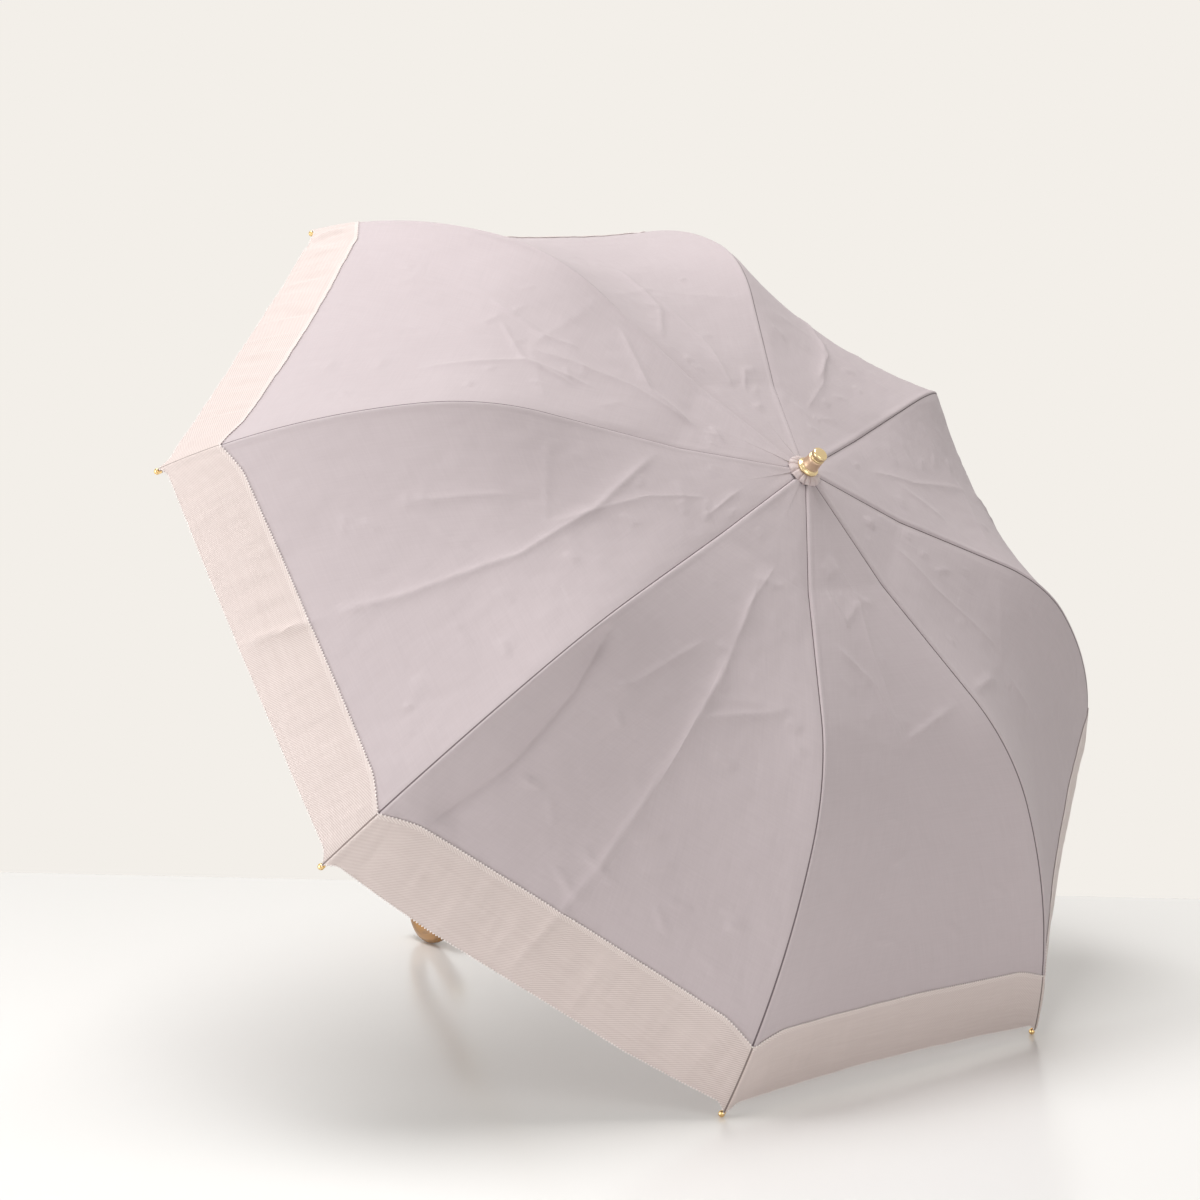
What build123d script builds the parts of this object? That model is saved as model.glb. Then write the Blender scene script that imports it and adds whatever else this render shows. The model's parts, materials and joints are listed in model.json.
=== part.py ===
from build123d import *
from math import asin, atan2, cos, degrees, hypot, radians, sin
import os

# A two-section folding parasol, standing open on two rib tips and the bend of its crook.
# The umbrella is drawn in its own frame first: the shaft lies on Z, the crown is at the origin,
# the ferrule points up and the handle points down. One placement then leans it onto the ground.

# ---- Driving dimensions, in mm ----
rib_count = 8
first_rib = 112.5           # azimuth of rib 1 about the shaft, in degrees
lean = 38.55                # how far the ferrule points above the horizon, in degrees

# The cloth along a rib, from the crown outwards: length of each stretch and its slopes.
cloth_start = 4.0
crown_run, crown_slope = 100.0, 11.0
shoulder_run, shoulder_slope = 105.0, 4.4
elbow_run, skirt_slope = 95.0, 34.0
skirt_run, hem_slope = 197.0, 58.5
cloth_thick = 0.6
cloth_gap = 0.35            # left between one rib's cloth and the next
crown_edge, elbow_seam, hem_edge = 10.0, 258.0, 491.0

# Ribs, seen in the plane of one rib as (distance from the shaft, height).
notch_pivot = (8.0, -6.0)
rib_bend_1 = (102.0, -22.6)
rib_bend_2 = (206.5, -30.6)
elbow_pivot = (258.0, -43.2)
rib_tip = (430.8, -204.6)
rib_tall, rib_wide = 2.0, 2.0
rib_side = 1.3              # inner ribs lie this far to one side of the rib plane, outer ribs to the other
elbow_offset = 2.6          # elbow pivot above the middle of both ribs
outer_slope = 28.0          # slope of the outer rib where it leaves the elbow
outer_bow = 15.5            # how far the sprung outer rib bows from its chord
bend_radius = 60.0          # of the soft bends in an inner rib
groove_shift = 0.7          # how far the channel's groove lies below the middle of the rib
groove_spans = [(60.0, 148.0), (166.0, 242.0)]   # where the rib is a channel, clear of the strut's pin
eye_clear = 3.4             # the rib is thinned this far round its eye
lug_wide, lug_radius = 2.4, 1.2                  # the ears that hold the elbow pin
tip_ball = 2.4              # radius of the ball on a rib tip
cut_wide = 12.0             # wide enough to drill through a rib or strut
pin_radius, pin_fit = 0.6, 0.05
pin_head, pin_head_thick = 1.1, 0.3
wire_fit = 0.35             # play of an inner rib's eye on the notch wire

# Struts
strut_at = 105.0            # along the inner rib from its pivot
strut_long = 130.0
strut_wide, strut_tall, strut_wall = 4.4, 2.9, 0.7
strut_floor = 1.3           # inner face of the channel's floor below the pivot line
strut_tongue = 14.0         # plain flat end that sits in the runner
eye_radius, eye_thick = 1.4, 1.6

# Shaft
tube_outer, tube_wall = 5.0, 0.6
tube_long = 292.0
lower_outer, lower_wall = 4.2, 0.6
lower_top, lower_end = 250.0, 545.0
shaft_fit = 0.2
plug_fit, plug_head, plug_stem = 0.15, 3.0, 10.0
spigot_long = 16.0          # of the ferrule, inside the tube

# Crown, runner and lock
notch_radius, notch_top, notch_bottom = 10.5, -2.4, -13.0
slot_wide, slot_floor, slot_reach = 2.4, 6.1, 8.0
wire_radius = 0.5
runner_bore, runner_sleeve = 5.3, 6.4
runner_head, runner_head_half = 9.0, 4.4
runner_below = 33.0
runner_flange = 9.6
runner_grip, grip_high = 8.2, 20.0   # the thicker part of the sleeve and its top above the bottom
flange_high = 5.0
lock_radius, lock_long, lip_long = 8.2, 14.0, 4.0
button_radius, button_travel = 2.4, 1.2
button_stem, button_head = 1.4, 1.4
button_proud = 2.0          # how far a button stands out before it is pressed
button_fit = 0.3
well_floor = 6.0            # a button's well starts this far from the axis
well_deep = 6.0
runner_button_at = 12.5     # above the runner's bottom
lock_button_at = 7.0        # above the mouth of the upper tube
button_from = 7.45          # a stem's inner end, clear of the well's floor when pressed

# Ferrule and rosette
flange_radius, flange_from, flange_to = 9.0, 3.4, 5.4
barrel_radius, barrel_waist, barrel_to = 5.7, 5.2, 14.6
cap_radius, cap_to = 5.5, 21.0
rosette_radius, rosette_low, rosette_high = 14.3, 0.9, 4.2

# Handle
bar_radius = 8.0
crook_radius = 28.9         # middle line of the bend
crook_leg = 34.0            # how far the bend's short leg comes back
crook_turn = 10.5           # the crook leans this far to one side, in degrees
grip_from = 534.0           # where the handle starts, below the crown
collar_from, collar_radius = 522.0, 9.0
end_cap_thick = 2.5

# ---- Sizes that follow ----
tilt = 90 - lean
foot_angle = 180 / rib_count
tip_drop = -rib_tip[1] * sin(radians(lean))
tip_reach = rib_tip[0] * cos(radians(foot_angle)) * cos(radians(lean))
crown_height = tip_ball + tip_drop + tip_reach

# The crook's middle line is lowest where its slope matches the lean.
crook_side = sin(radians(90 - crook_turn)) * cos(radians(lean))
crook_drop = crook_radius * (crook_side + hypot(crook_side, sin(radians(lean))))
bend_start = (crown_height - bar_radius - crook_drop) / sin(radians(lean))


def step_along(start, end, distance):
    """The point some distance from start towards end, in the rib plane."""
    length = hypot(end[0] - start[0], end[1] - start[1])
    share = distance / length
    return (start[0] + share * (end[0] - start[0]), start[1] + share * (end[1] - start[1]))


bend_at = hypot(rib_bend_1[0] - notch_pivot[0], rib_bend_1[1] - notch_pivot[1])
strut_pivot = step_along(rib_bend_1, rib_bend_2, strut_at - bend_at)
strut_reach = strut_pivot[0] - notch_pivot[0]
runner_drop = -strut_pivot[1] + (strut_long**2 - strut_reach**2) ** 0.5
runner_pivot = (notch_pivot[0], -runner_drop)

close_angle = 79.5          # how far an inner rib swings down
fold_angle = 207.0          # how far an outer rib folds back
runner_travel = 138.96
strut_turn = 131.47
shaft_travel = 212.0


# ---- Small helpers ----
def tube(outer, inner, low, high):
    """A round tube on the shaft's axis between two heights."""
    body = Cylinder(outer, high - low, align=(Align.CENTER, Align.CENTER, Align.MIN))
    hole = Cylinder(inner, high - low, align=(Align.CENTER, Align.CENTER, Align.MIN))
    return Pos(0, 0, low) * (body - hole)


def turned(points):
    """A solid turned about the shaft from an outline of (radius, height) points."""
    outline = Polyline([(r, 0, z) for r, z in points], close=True)
    return revolve(make_face(outline), axis=Axis.Z)


def across(face, middle, width):
    """A flat shape in the rib plane made into a plate, centred to one side of that plane."""
    return Pos(0, middle, 0) * extrude(face, amount=width / 2, both=True)


def band(path, thick):
    """The area within half a thickness of a line in the rib plane."""
    return Plane.XZ * make_face(offset(path, thick / 2, side=Side.BOTH))


def disc(centre, radius):
    return Plane.XZ * Pos(centre[0], centre[1]) * Circle(radius)


def at_rib(shape, rib):
    """Turns a shape from the first rib plane to its own rib."""
    return Rot(0, 0, first_rib + 45.0 * (rib - 1)) * shape


def slots(low, high, reach):
    """The radial cuts that the rib or strut ends lie in."""
    cut = Box(reach, slot_wide, high - low, align=(Align.MIN, Align.CENTER, Align.MIN))
    cut = Pos(slot_floor, -rib_side, low) * cut
    return [at_rib(cut, rib) for rib in range(1, rib_count + 1)]


# ---- Cloth ----
def cloth_points(start, end, spacing, inset):
    """Points on the cloth's outer line between two arc lengths, moved in along its normal."""
    runs = [
        (crown_run, crown_slope, crown_slope),
        (shoulder_run, shoulder_slope, shoulder_slope),
        (elbow_run, shoulder_slope, skirt_slope),
        (skirt_run, skirt_slope, hem_slope),
    ]
    wanted = [start + (end - start) * i / spacing for i in range(spacing + 1)]
    found = []
    step = 0.5
    r, z, done = cloth_start, 0.0, 0.0
    for length, first, last in runs:
        for i in range(int(length / step)):
            slope = radians(first + (last - first) * (i + 0.5) * step / length)
            if len(found) < len(wanted) and done >= wanted[len(found)] - step / 2:
                found.append((r - inset * sin(slope), z - inset * cos(slope)))
            r += step * cos(slope)
            z -= step * sin(slope)
            done += step
    return found


def cloth_panel(start, end, spacing):
    """The cloth of one rib, out to the middle of the gore on each side."""
    squeeze = cos(radians(foot_angle))
    outer = cloth_points(start, end, spacing, 0)
    inner = cloth_points(start, end, spacing, cloth_thick)
    outline = [(r * squeeze, z) for r, z in outer + inner[::-1]]
    reach = rib_tip[0] + 50
    sheet = extrude(Plane.XZ * make_face(Polyline(outline, close=True)), amount=reach, both=True)
    middle = degrees(asin(cloth_gap / 2 / rib_tip[0]))
    corner = radians(foot_angle - middle)
    wedge = Polyline((0, 0), (reach, 0), (reach * cos(corner), reach * sin(corner)), close=True)
    side = extrude(make_face(wedge), amount=-reach)
    half = (Rot(0, 0, foot_angle) * sheet) & side
    return half + mirror(half, about=Plane.XZ)


# ---- Ribs and struts ----
def inner_rib():
    """A bent channel with an eye at the crown end and a tongue at the elbow."""
    end_low = (elbow_pivot[0], elbow_pivot[1] - elbow_offset)
    slope = atan2(rib_bend_2[1] - end_low[1], end_low[0] - rib_bend_2[0])
    end = (elbow_pivot[0] - elbow_offset * sin(slope), elbow_pivot[1] - elbow_offset * cos(slope))
    line = FilletPolyline(notch_pivot, rib_bend_1, rib_bend_2, end, radius=bend_radius)
    rib = across(band(line, rib_tall), -rib_side, rib_wide)
    groove = across(band(line, rib_tall - 0.6), -rib_side, rib_wide - 1.0)
    groove = Pos(0, 0, -groove_shift) * groove
    for start, stop in groove_spans:
        span = Box(stop - start, 4 * rib_wide, -4 * rib_bend_2[1])
        rib -= groove & (Pos((start + stop) / 2, 0, rib_bend_2[1]) * span)
    ends = across(disc(notch_pivot, eye_radius), -rib_side, eye_thick)
    neck = across(disc(notch_pivot, eye_clear), -rib_side, 3 * rib_wide)
    rib = rib - neck + ends
    link = Line(notch_pivot, step_along(notch_pivot, rib_bend_1, 5.0))
    rib += across(band(link, rib_tall), -rib_side, eye_thick)
    lug = Line(elbow_pivot, end)
    rib += across(band(lug, lug_wide), -rib_side, rib_wide)
    rib += across(disc(elbow_pivot, lug_radius), -rib_side, rib_wide)
    rib -= across(disc(notch_pivot, wire_radius + wire_fit), 0, cut_wide)
    rib -= across(disc(elbow_pivot, pin_radius + pin_fit), 0, cut_wide)
    rib -= across(disc(strut_pivot, pin_radius + pin_fit), 0, cut_wide)
    return rib


def elbow_start():
    slope = radians(outer_slope)
    return (elbow_pivot[0] - elbow_offset * sin(slope), elbow_pivot[1] - elbow_offset * cos(slope))


def tip_solid():
    """The ball that closes a rib tip."""
    return Pos(rib_tip[0], 0, rib_tip[1]) * Sphere(tip_ball)


def outer_rib():
    """The sprung rib from the elbow to the tip, with its pin; it bows while the cloth is tight."""
    line = SagittaArc(elbow_start(), rib_tip, outer_bow)
    rib = across(band(line, rib_tall), rib_side, rib_wide)
    lug = Line(elbow_pivot, elbow_start())
    rib += across(band(lug, lug_wide), rib_side, rib_wide)
    rib += across(disc(elbow_pivot, lug_radius), rib_side, rib_wide)
    rib -= across(disc(elbow_pivot, pin_radius), 0, cut_wide)
    return rib - tip_solid()


def elbow_pin():
    """The pin through both ribs, with a flat head outside each of them."""
    outside = rib_side + rib_wide / 2
    middle = outside + 0.1 + pin_head_thick / 2
    pin = across(disc(elbow_pivot, pin_radius), 0, 2 * middle + pin_head_thick)
    for side in (-middle, middle):
        pin += across(disc(elbow_pivot, pin_head), side, pin_head_thick)
    return pin


def strut():
    """A channel from the inner rib to the runner, with a flat tongue at the runner."""
    low = -strut_floor - strut_wall
    wall = Rectangle(strut_long - strut_tongue, strut_tall, align=(Align.MIN, Align.MIN))
    wall = Plane.XZ * Pos(0, low) * wall
    boss = Plane.XZ * Circle(-low)
    side = (strut_wide - strut_wall) / 2
    both = across(wall, side, strut_wall) + across(wall, -side, strut_wall)
    both += across(boss, side, strut_wall) + across(boss, -side, strut_wall)
    floor_from = 4.0
    floor_long = strut_long - strut_tongue - floor_from
    floor = Rectangle(floor_long, strut_wall, align=(Align.MIN, Align.MIN))
    both += across(Plane.XZ * Pos(floor_from, low) * floor, 0, strut_wide)
    block_long = 6.0
    tongue_tall = 2 * eye_radius - 0.4
    tongue = Rectangle(strut_tongue + block_long, tongue_tall, align=(Align.MAX, Align.CENTER))
    tongue = across(Plane.XZ * Pos(strut_long, 0) * tongue, 0, eye_thick)
    block = Rectangle(block_long, strut_tall, align=(Align.MAX, Align.MIN))
    block = Plane.XZ * Pos(strut_long - strut_tongue, low) * block
    both += across(block, 0, strut_wide) + tongue
    both += across(Plane.XZ * Pos(strut_long, 0) * Circle(eye_radius), 0, eye_thick)
    both -= across(Plane.XZ * Circle(pin_radius), 0, cut_wide)
    return place_strut(both)


def place_strut(shape):
    """Moves a strut drawn along X with its open side up to its place between rib and runner."""
    slope = degrees(atan2(strut_pivot[1] - runner_pivot[1], strut_pivot[0] - runner_pivot[0]))
    return Pos(strut_pivot[0], -rib_side, strut_pivot[1]) * Rot(0, 180 - slope, 0) * shape


def strut_pin():
    return place_strut(across(Plane.XZ * Circle(pin_radius), 0, strut_wide + 0.4))


# ---- Crown and ferrule ----
def top_notch():
    notch = tube(notch_radius, tube_outer, notch_bottom, notch_top)
    notch -= slots(notch_bottom - 1, notch_top + 1, slot_reach)
    groove = Torus(notch_pivot[0], wire_radius + 0.02)
    return notch - Pos(0, 0, notch_pivot[1]) * groove


def notch_wire():
    return Pos(0, 0, notch_pivot[1]) * Torus(notch_pivot[0], wire_radius)


def fabric_rosette():
    """A pleated cup of cloth with a wavy rim, under the ferrule."""
    cup = turned([(5.2, 1.4), (9.0, rosette_low), (rosette_radius, 3.4),
                  (rosette_radius - 0.5, rosette_high), (9.4, 2.4), (5.2, 2.4)])
    notches = []
    for i in range(16):
        cut = Cylinder(1.0, 20)
        notches.append(Rot(0, 0, 22.5 * (i + 0.5)) * Pos(rosette_radius + 0.55, 0, 0) * cut)
    return cup - notches


def ferrule_base():
    return turned([(4.2, 2.5), (8.2, 2.5), (flange_radius, flange_from), (flange_radius, 4.4),
                   (8.0, flange_to), (6.6, flange_to), (6.2, 6.2), (4.2, 6.2)])


def ferrule_barrel():
    """The waisted barrel, with a spigot that is pinned in the tube."""
    spigot = 4.2
    low = 6.2
    return turned([(0, -spigot_long), (spigot, -spigot_long), (spigot, low),
                   (barrel_radius, low), (barrel_radius, 7.4),
                   (barrel_waist, 9.4), (barrel_waist, 12.4), (barrel_radius - 0.2, barrel_to),
                   (0, barrel_to)])


def ferrule_cap():
    cap = Pos(0, 0, barrel_to) * Cylinder(cap_radius, cap_to - barrel_to,
                                          align=(Align.CENTER, Align.CENTER, Align.MIN))
    cap = fillet(cap.edges().group_by(Axis.Z)[-1], 1.6)
    return chamfer(cap.edges().group_by(Axis.Z)[0], 0.5)


# ---- Shaft, runner and locks ----
def button(height, inner, housing):
    """A radial push button: a stem and a wider domed head, on the side between two ribs."""
    long = housing + button_proud - inner
    stem = Cylinder(button_stem, long, align=(Align.CENTER, Align.CENTER, Align.MIN))
    head = Cylinder(button_radius, button_head, align=(Align.CENTER, Align.CENTER, Align.MAX))
    head = Pos(0, 0, long) * head
    head = fillet(head.edges().group_by(Axis.Z)[-1], 0.5)
    return Pos(inner, 0, height) * Rot(0, 90, 0) * (stem + head)


def button_well(height):
    """The hole that a button travels in."""
    hole = Cylinder(button_radius + button_fit, well_deep,
                    align=(Align.CENTER, Align.CENTER, Align.MIN))
    return Pos(well_floor, 0, height) * Rot(0, 90, 0) * hole


def upper_tube():
    return tube(tube_outer, tube_outer - tube_wall, -tube_long, -0.5)


def tube_lock():
    """The collar on the mouth of the upper tube, which holds the shaft's button."""
    collar = tube(lock_radius, tube_outer, -tube_long, -tube_long + lock_long)
    lip = tube(lock_radius, lower_outer + shaft_fit, -tube_long - lip_long, -tube_long)
    return collar + lip - button_well(-tube_long + lock_button_at)


def shaft_button():
    return button(-tube_long + lock_button_at, button_from, lock_radius)


def runner():
    """A sleeve with a slotted head for the struts, a grip flange and a well for the button."""
    top = runner_pivot[1] + runner_head_half
    bottom = runner_pivot[1] - runner_below
    sleeve = tube(runner_sleeve, runner_bore, bottom, top)
    head = tube(runner_head, runner_sleeve - 0.5, top - 2 * runner_head_half, top)
    head -= slots(top - 2 * runner_head_half - 1, top + 1, slot_reach)
    grip = tube(runner_grip, runner_bore, bottom + flange_high, bottom + grip_high)
    flange = tube(runner_flange, runner_bore, bottom, bottom + flange_high)
    flange = chamfer(flange.edges().filter_by(GeomType.CIRCLE).group_by(SortBy.RADIUS)[-1], 1.0)
    return sleeve + head + grip + flange - button_well(bottom + runner_button_at)


def runner_button():
    bottom = runner_pivot[1] - runner_below
    return button(bottom + runner_button_at, button_from, runner_grip)


def lower_tube():
    return tube(lower_outer, lower_outer - lower_wall, -lower_end, -lower_top)


def tube_plug():
    """The plug that closes the top of the lower tube and slides in the upper one."""
    wide = tube_outer - tube_wall - plug_fit
    head = Cylinder(wide, plug_head, align=(Align.CENTER, Align.CENTER, Align.MIN))
    stem = Cylinder(lower_outer - lower_wall, plug_stem,
                    align=(Align.CENTER, Align.CENTER, Align.MAX))
    return Pos(0, 0, -lower_top) * (head + stem)


# ---- Handle ----
def crook_turned(shape):
    """Turns the crook about the shaft, so that it hangs to the ground and leans to one side."""
    return Rot(0, 0, -90 - crook_turn) * shape


def handle():
    stem = Line((0, 0, -grip_from), (0, 0, -bend_start))
    bend = ThreePointArc((0, 0, -bend_start), (crook_radius, 0, -bend_start - crook_radius),
                         (2 * crook_radius, 0, -bend_start))
    leg = Line(bend @ 1, (2 * crook_radius, 0, -bend_start + crook_leg))
    end = Plane(origin=(0, 0, -grip_from), z_dir=(0, 0, -1))
    bar = sweep(end * Circle(bar_radius), path=Wire([stem, bend, leg]))
    hole = Cylinder(lower_outer + 0.02, lower_end - grip_from,
                    align=(Align.CENTER, Align.CENTER, Align.MIN))
    return crook_turned(bar - Pos(0, 0, -lower_end) * hole)


def handle_collar():
    return turned([(lower_outer + 0.02, -grip_from), (lower_outer + 0.02, -collar_from),
                   (5.6, -collar_from), (collar_radius - 1.2, -collar_from - 4.5),
                   (collar_radius, -collar_from - 6.0), (collar_radius, -grip_from)])


def handle_end_cap():
    """The button that closes the short leg of the crook."""
    cap = Cylinder(bar_radius - 0.2, end_cap_thick, align=(Align.CENTER, Align.CENTER, Align.MIN))
    cap = fillet(cap.edges().group_by(Axis.Z)[-1], 1.2)
    height = -bend_start + crook_leg
    return crook_turned(Pos(2 * crook_radius, 0, height) * cap)


# ---- The whole umbrella ----
def central_parts():
    return {
        "upper_tube": upper_tube(),
        "top_notch": top_notch(),
        "notch_wire": notch_wire(),
        "fabric_rosette": fabric_rosette(),
        "ferrule_base": ferrule_base(),
        "ferrule_barrel": ferrule_barrel(),
        "ferrule_cap": ferrule_cap(),
        "tube_lock": tube_lock(),
        "shaft_button": shaft_button(),
        "runner": runner(),
        "runner_button": runner_button(),
        "lower_tube": lower_tube(),
        "tube_plug": tube_plug(),
        "handle_collar": handle_collar(),
        "handle": handle(),
        "handle_end_cap": handle_end_cap(),
    }


def rib_parts():
    """One rib with its strut and cloth, at the first rib plane, to be turned to each place."""
    return {
        "inner_rib": inner_rib(),
        "outer_rib": Compound([outer_rib(), elbow_pin(), tip_solid()]),
        "strut": Compound([strut(), strut_pin()]),
        "canopy_inner": cloth_panel(crown_edge, elbow_seam, 9),
        "canopy_outer": cloth_panel(elbow_seam + cloth_gap, hem_edge, 10),
    }


# Leaning the shaft back puts two rib tips and the crook on the ground.
standing = Pos(0, 0, crown_height) * Rot(tilt, 0, 0)

named = central_parts()
for rib in range(1, rib_count + 1):
    for name, shape in rib_parts().items():
        named[f"{name}_{rib}"] = at_rib(shape, rib)

placed = {name: standing * shape for name, shape in named.items()}
around = Compound(list(placed.values())).bounding_box()
centring = Pos(-(around.min.X + around.max.X) / 2, -(around.min.Y + around.max.Y) / 2, 0)
placement = centring * standing

if __name__ == "__main__":
    os.makedirs("parts", exist_ok=True)
    for name, shape in placed.items():
        export_step(centring * shape, f"parts/{name}.step")
    print("crown height", round(crown_height, 2), "bend start", round(bend_start, 2))
    print("box", around.min, around.max)
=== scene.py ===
# %% [markdown]
# # Dressing a folding parasol
# The frame already holds the parasol's hard parts: shaft, ribs, struts, runner, ferrule and handle. It
# also holds plain sheets where the cloth is. In this lesson we sew the real canopy over that frame, add
# its wide ribbon border and its stitches, turn a finer ferrule and handle, and give every part a finish.

# %% Load the frame
import json
from math import cos, exp, hypot, pi, radians, sin
from random import Random

import bmesh
import bpy
from mathutils import Matrix, Vector, noise


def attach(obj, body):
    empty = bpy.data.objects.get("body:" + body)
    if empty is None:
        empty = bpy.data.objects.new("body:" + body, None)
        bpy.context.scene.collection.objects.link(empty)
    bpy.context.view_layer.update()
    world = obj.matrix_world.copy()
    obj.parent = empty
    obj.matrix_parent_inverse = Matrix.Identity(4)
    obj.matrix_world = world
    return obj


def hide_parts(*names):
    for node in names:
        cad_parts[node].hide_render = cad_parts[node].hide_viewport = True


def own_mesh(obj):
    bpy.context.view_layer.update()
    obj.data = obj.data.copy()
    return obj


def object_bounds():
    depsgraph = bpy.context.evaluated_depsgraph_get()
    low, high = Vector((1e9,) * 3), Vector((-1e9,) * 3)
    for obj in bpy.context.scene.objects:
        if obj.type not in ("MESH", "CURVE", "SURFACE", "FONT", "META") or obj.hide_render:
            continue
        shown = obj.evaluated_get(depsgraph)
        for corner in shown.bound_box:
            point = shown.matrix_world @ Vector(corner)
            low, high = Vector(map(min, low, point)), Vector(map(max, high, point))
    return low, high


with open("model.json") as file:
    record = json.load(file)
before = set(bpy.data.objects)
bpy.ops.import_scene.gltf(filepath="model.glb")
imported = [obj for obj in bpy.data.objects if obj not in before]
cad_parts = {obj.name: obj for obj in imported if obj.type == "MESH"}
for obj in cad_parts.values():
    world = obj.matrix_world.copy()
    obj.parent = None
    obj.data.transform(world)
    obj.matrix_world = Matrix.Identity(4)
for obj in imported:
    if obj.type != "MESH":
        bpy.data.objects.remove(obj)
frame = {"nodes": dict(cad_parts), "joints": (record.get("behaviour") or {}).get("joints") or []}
cad_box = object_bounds()
mm = 0.001
print("parts in the frame:", len(frame["nodes"]))

# %% [markdown]
# ## The parasol's own axes
# The parasol leans on the floor, so its shaft isn't upright. Cloth and ferrule are easier to describe
# when the shaft is the Z axis and the crown is the origin. The joints say where those are: the runner
# slides down the shaft, and the eight rib hinges lie on a ring just under the crown.

# %% Find the crown and the shaft
rib_count = 8
ribs = range(1, rib_count + 1)
joints = {joint["name"]: joint for joint in frame["joints"]}
hinge_drop = 6.0 * mm                   # from the crown down to the ring of hinges
first_rib = 112.5                       # azimuth of rib 1 about the shaft, in degrees
rib_step = 360 / rib_count
half_gore = radians(rib_step / 2)

ferrule_way = -Vector(joints["runner_slide"]["axis"])
side_way = Vector((1, 0, 0))
rise_way = ferrule_way.cross(side_way)
hinges = [Vector(joints[f"rib_{rib}"]["pos_m"]) for rib in ribs]
crown = sum(hinges, Vector()) / rib_count + hinge_drop * ferrule_way
own_axes = Matrix((side_way, rise_way, ferrule_way)).transposed().to_4x4()
standing = Matrix.Translation(crown) @ own_axes
print("crown at", [round(x, 3) for x in crown])

# %% [markdown]
# ## Camera
# A long lens stands to the left of the way the ferrule points, a little higher than the crown, and looks
# slightly down, so that the canopy fills the view and its border faces us.

# %% Place the camera
camera_place = Vector((-1.336, -1.5262, 0.5298))
camera_dip, camera_turn = 5.64, -40.28  # degrees below level, and round from looking along +Y

camera_data = bpy.data.cameras.new("camera")
camera_data.lens = 75.85
camera_data.sensor_width = 36
camera = bpy.data.objects.new("camera", camera_data)
camera.location = camera_place
camera.rotation_euler = (radians(90 - camera_dip), 0, radians(camera_turn))
bpy.context.scene.collection.objects.link(camera)
bpy.context.scene.camera = camera
print("camera is", round((camera_place - crown).length, 2), "m from the crown")

# %% [markdown]
# ## Writing shaders as sums
# A pattern such as a weave is a formula, and formulas read best as Python. This small class holds one
# output of a shader node. Adding or multiplying it adds the Math node that does so, and `node` makes
# any other kind of node.

# %% A socket that can be added and multiplied
class Socket:
    """One output of a shader node."""

    def __init__(self, tree, socket=None):
        self.tree, self.socket = tree, socket

    def node(self, kind, settings=None, inputs=None, out=0):
        made = self.tree.nodes.new(kind)
        for name, value in (settings or {}).items():
            setattr(made, name, value)
        for name, value in (inputs or {}).items():
            if isinstance(value, Socket):
                self.tree.links.new(value.socket, made.inputs[name])
            else:
                made.inputs[name].default_value = value
        return Socket(self.tree, made.outputs[out])

    def math(self, operation, first, second=0.0):
        return self.node("ShaderNodeMath", {"operation": operation}, {0: first, 1: second})

    def __add__(self, other):
        return self.math("ADD", self, other)

    def __sub__(self, other):
        return self.math("SUBTRACT", self, other)

    def __rsub__(self, other):
        return self.math("SUBTRACT", other, self)

    def __mul__(self, other):
        return self.math("MULTIPLY", self, other)

    def __gt__(self, other):
        return self.math("GREATER_THAN", self, other)

    def __lt__(self, other):
        return self.math("LESS_THAN", self, other)

    def sine(self):
        return self.math("SINE", self)

    def size(self):
        return self.math("ABSOLUTE", self)

    __radd__, __rmul__ = __add__, __mul__


def tone(red, green, blue):
    """A colour of 0 to 255 as the linear values that a shader wants."""
    linear = [((x / 255 + 0.055) / 1.055) ** 2.4 if x > 10 else x / 3295 for x in (red, green, blue)]
    return (*linear, 1.0)


def start_finish(name, **constants):
    """A new material with constants on its shader; returns it with a blank socket to build from."""
    material = bpy.data.materials.new(name)
    material.use_nodes = True
    shader = material.node_tree.nodes["Principled BSDF"]
    for label, value in constants.items():
        shader.inputs[label.replace("_", " ")].default_value = value
    return material, Socket(material.node_tree)


def feed(material, **varied):
    """Plugs what varies over the surface into the material's shader."""
    shader = material.node_tree.nodes["Principled BSDF"]
    for label, value in varied.items():
        material.node_tree.links.new(value.socket, shader.inputs[label.replace("_", " ")])
    return material


def blend_tones(share, first, second):
    """The first colour where share is 0, the second where it is 1."""
    return share.node("ShaderNodeMix", {"data_type": "RGBA"}, {0: share, 6: first, 7: second}, out=2)


def bumped(height, strength, distance):
    """A normal that makes a height pattern look raised by up to that distance."""
    return height.node("ShaderNodeBump", None, {"Height": height, "Strength": strength,
                                                "Distance": distance})


def noisy(place, scale, detail=3.0, stretch=(1, 1, 1)):
    """Soft random values from 0 to 1, finer where the scale is larger."""
    moved = place.node("ShaderNodeMapping", None, {"Vector": place, "Scale": stretch})
    return place.node("ShaderNodeTexNoise", None, {"Vector": moved, "Scale": scale, "Detail": detail})


print("mid grey for a shader:", round(tone(128, 128, 128)[0], 3))

# %% [markdown]
# ## Cloth and ribbon finishes
# The canopy is a fine plain weave in a dusty mauve. Its threads are about a third of a millimetre wide,
# some thicker than others, so the colour has faint streaks both ways. The border is a wide twill ribbon
# in a pinkish beige, whose diagonal lines turn the other way in a narrow selvage along its inner edge.
# Both patterns follow the cloth, so they read the UV map, which is laid out in metres: along the hem from
# the seam, and out from the crown on the cloth or from its own inner edge on the ribbon. A dark line
# along each rib is painted shade, the shadow in the seam, which is too narrow to be shaped by the
# cloth's grid alone.

# %% Weave the cloth and the ribbon
thread = 0.34 * mm
crumple_high = 24                       # how much the crumpling stands out beside the weave
seam_shade_half = 0.25 * mm                   # half the width of the painted seam shadow along a rib at the crown
seam_shade_widening = 0.0009                  # how much wider that is for each metre from the crown
ribbon_seam_shade_half = 2.6 * seam_shade_half           # the same half width of painted seam shadow on the ribbon
twill_step, selvage = 1.5 * mm, 3.6 * mm


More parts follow.
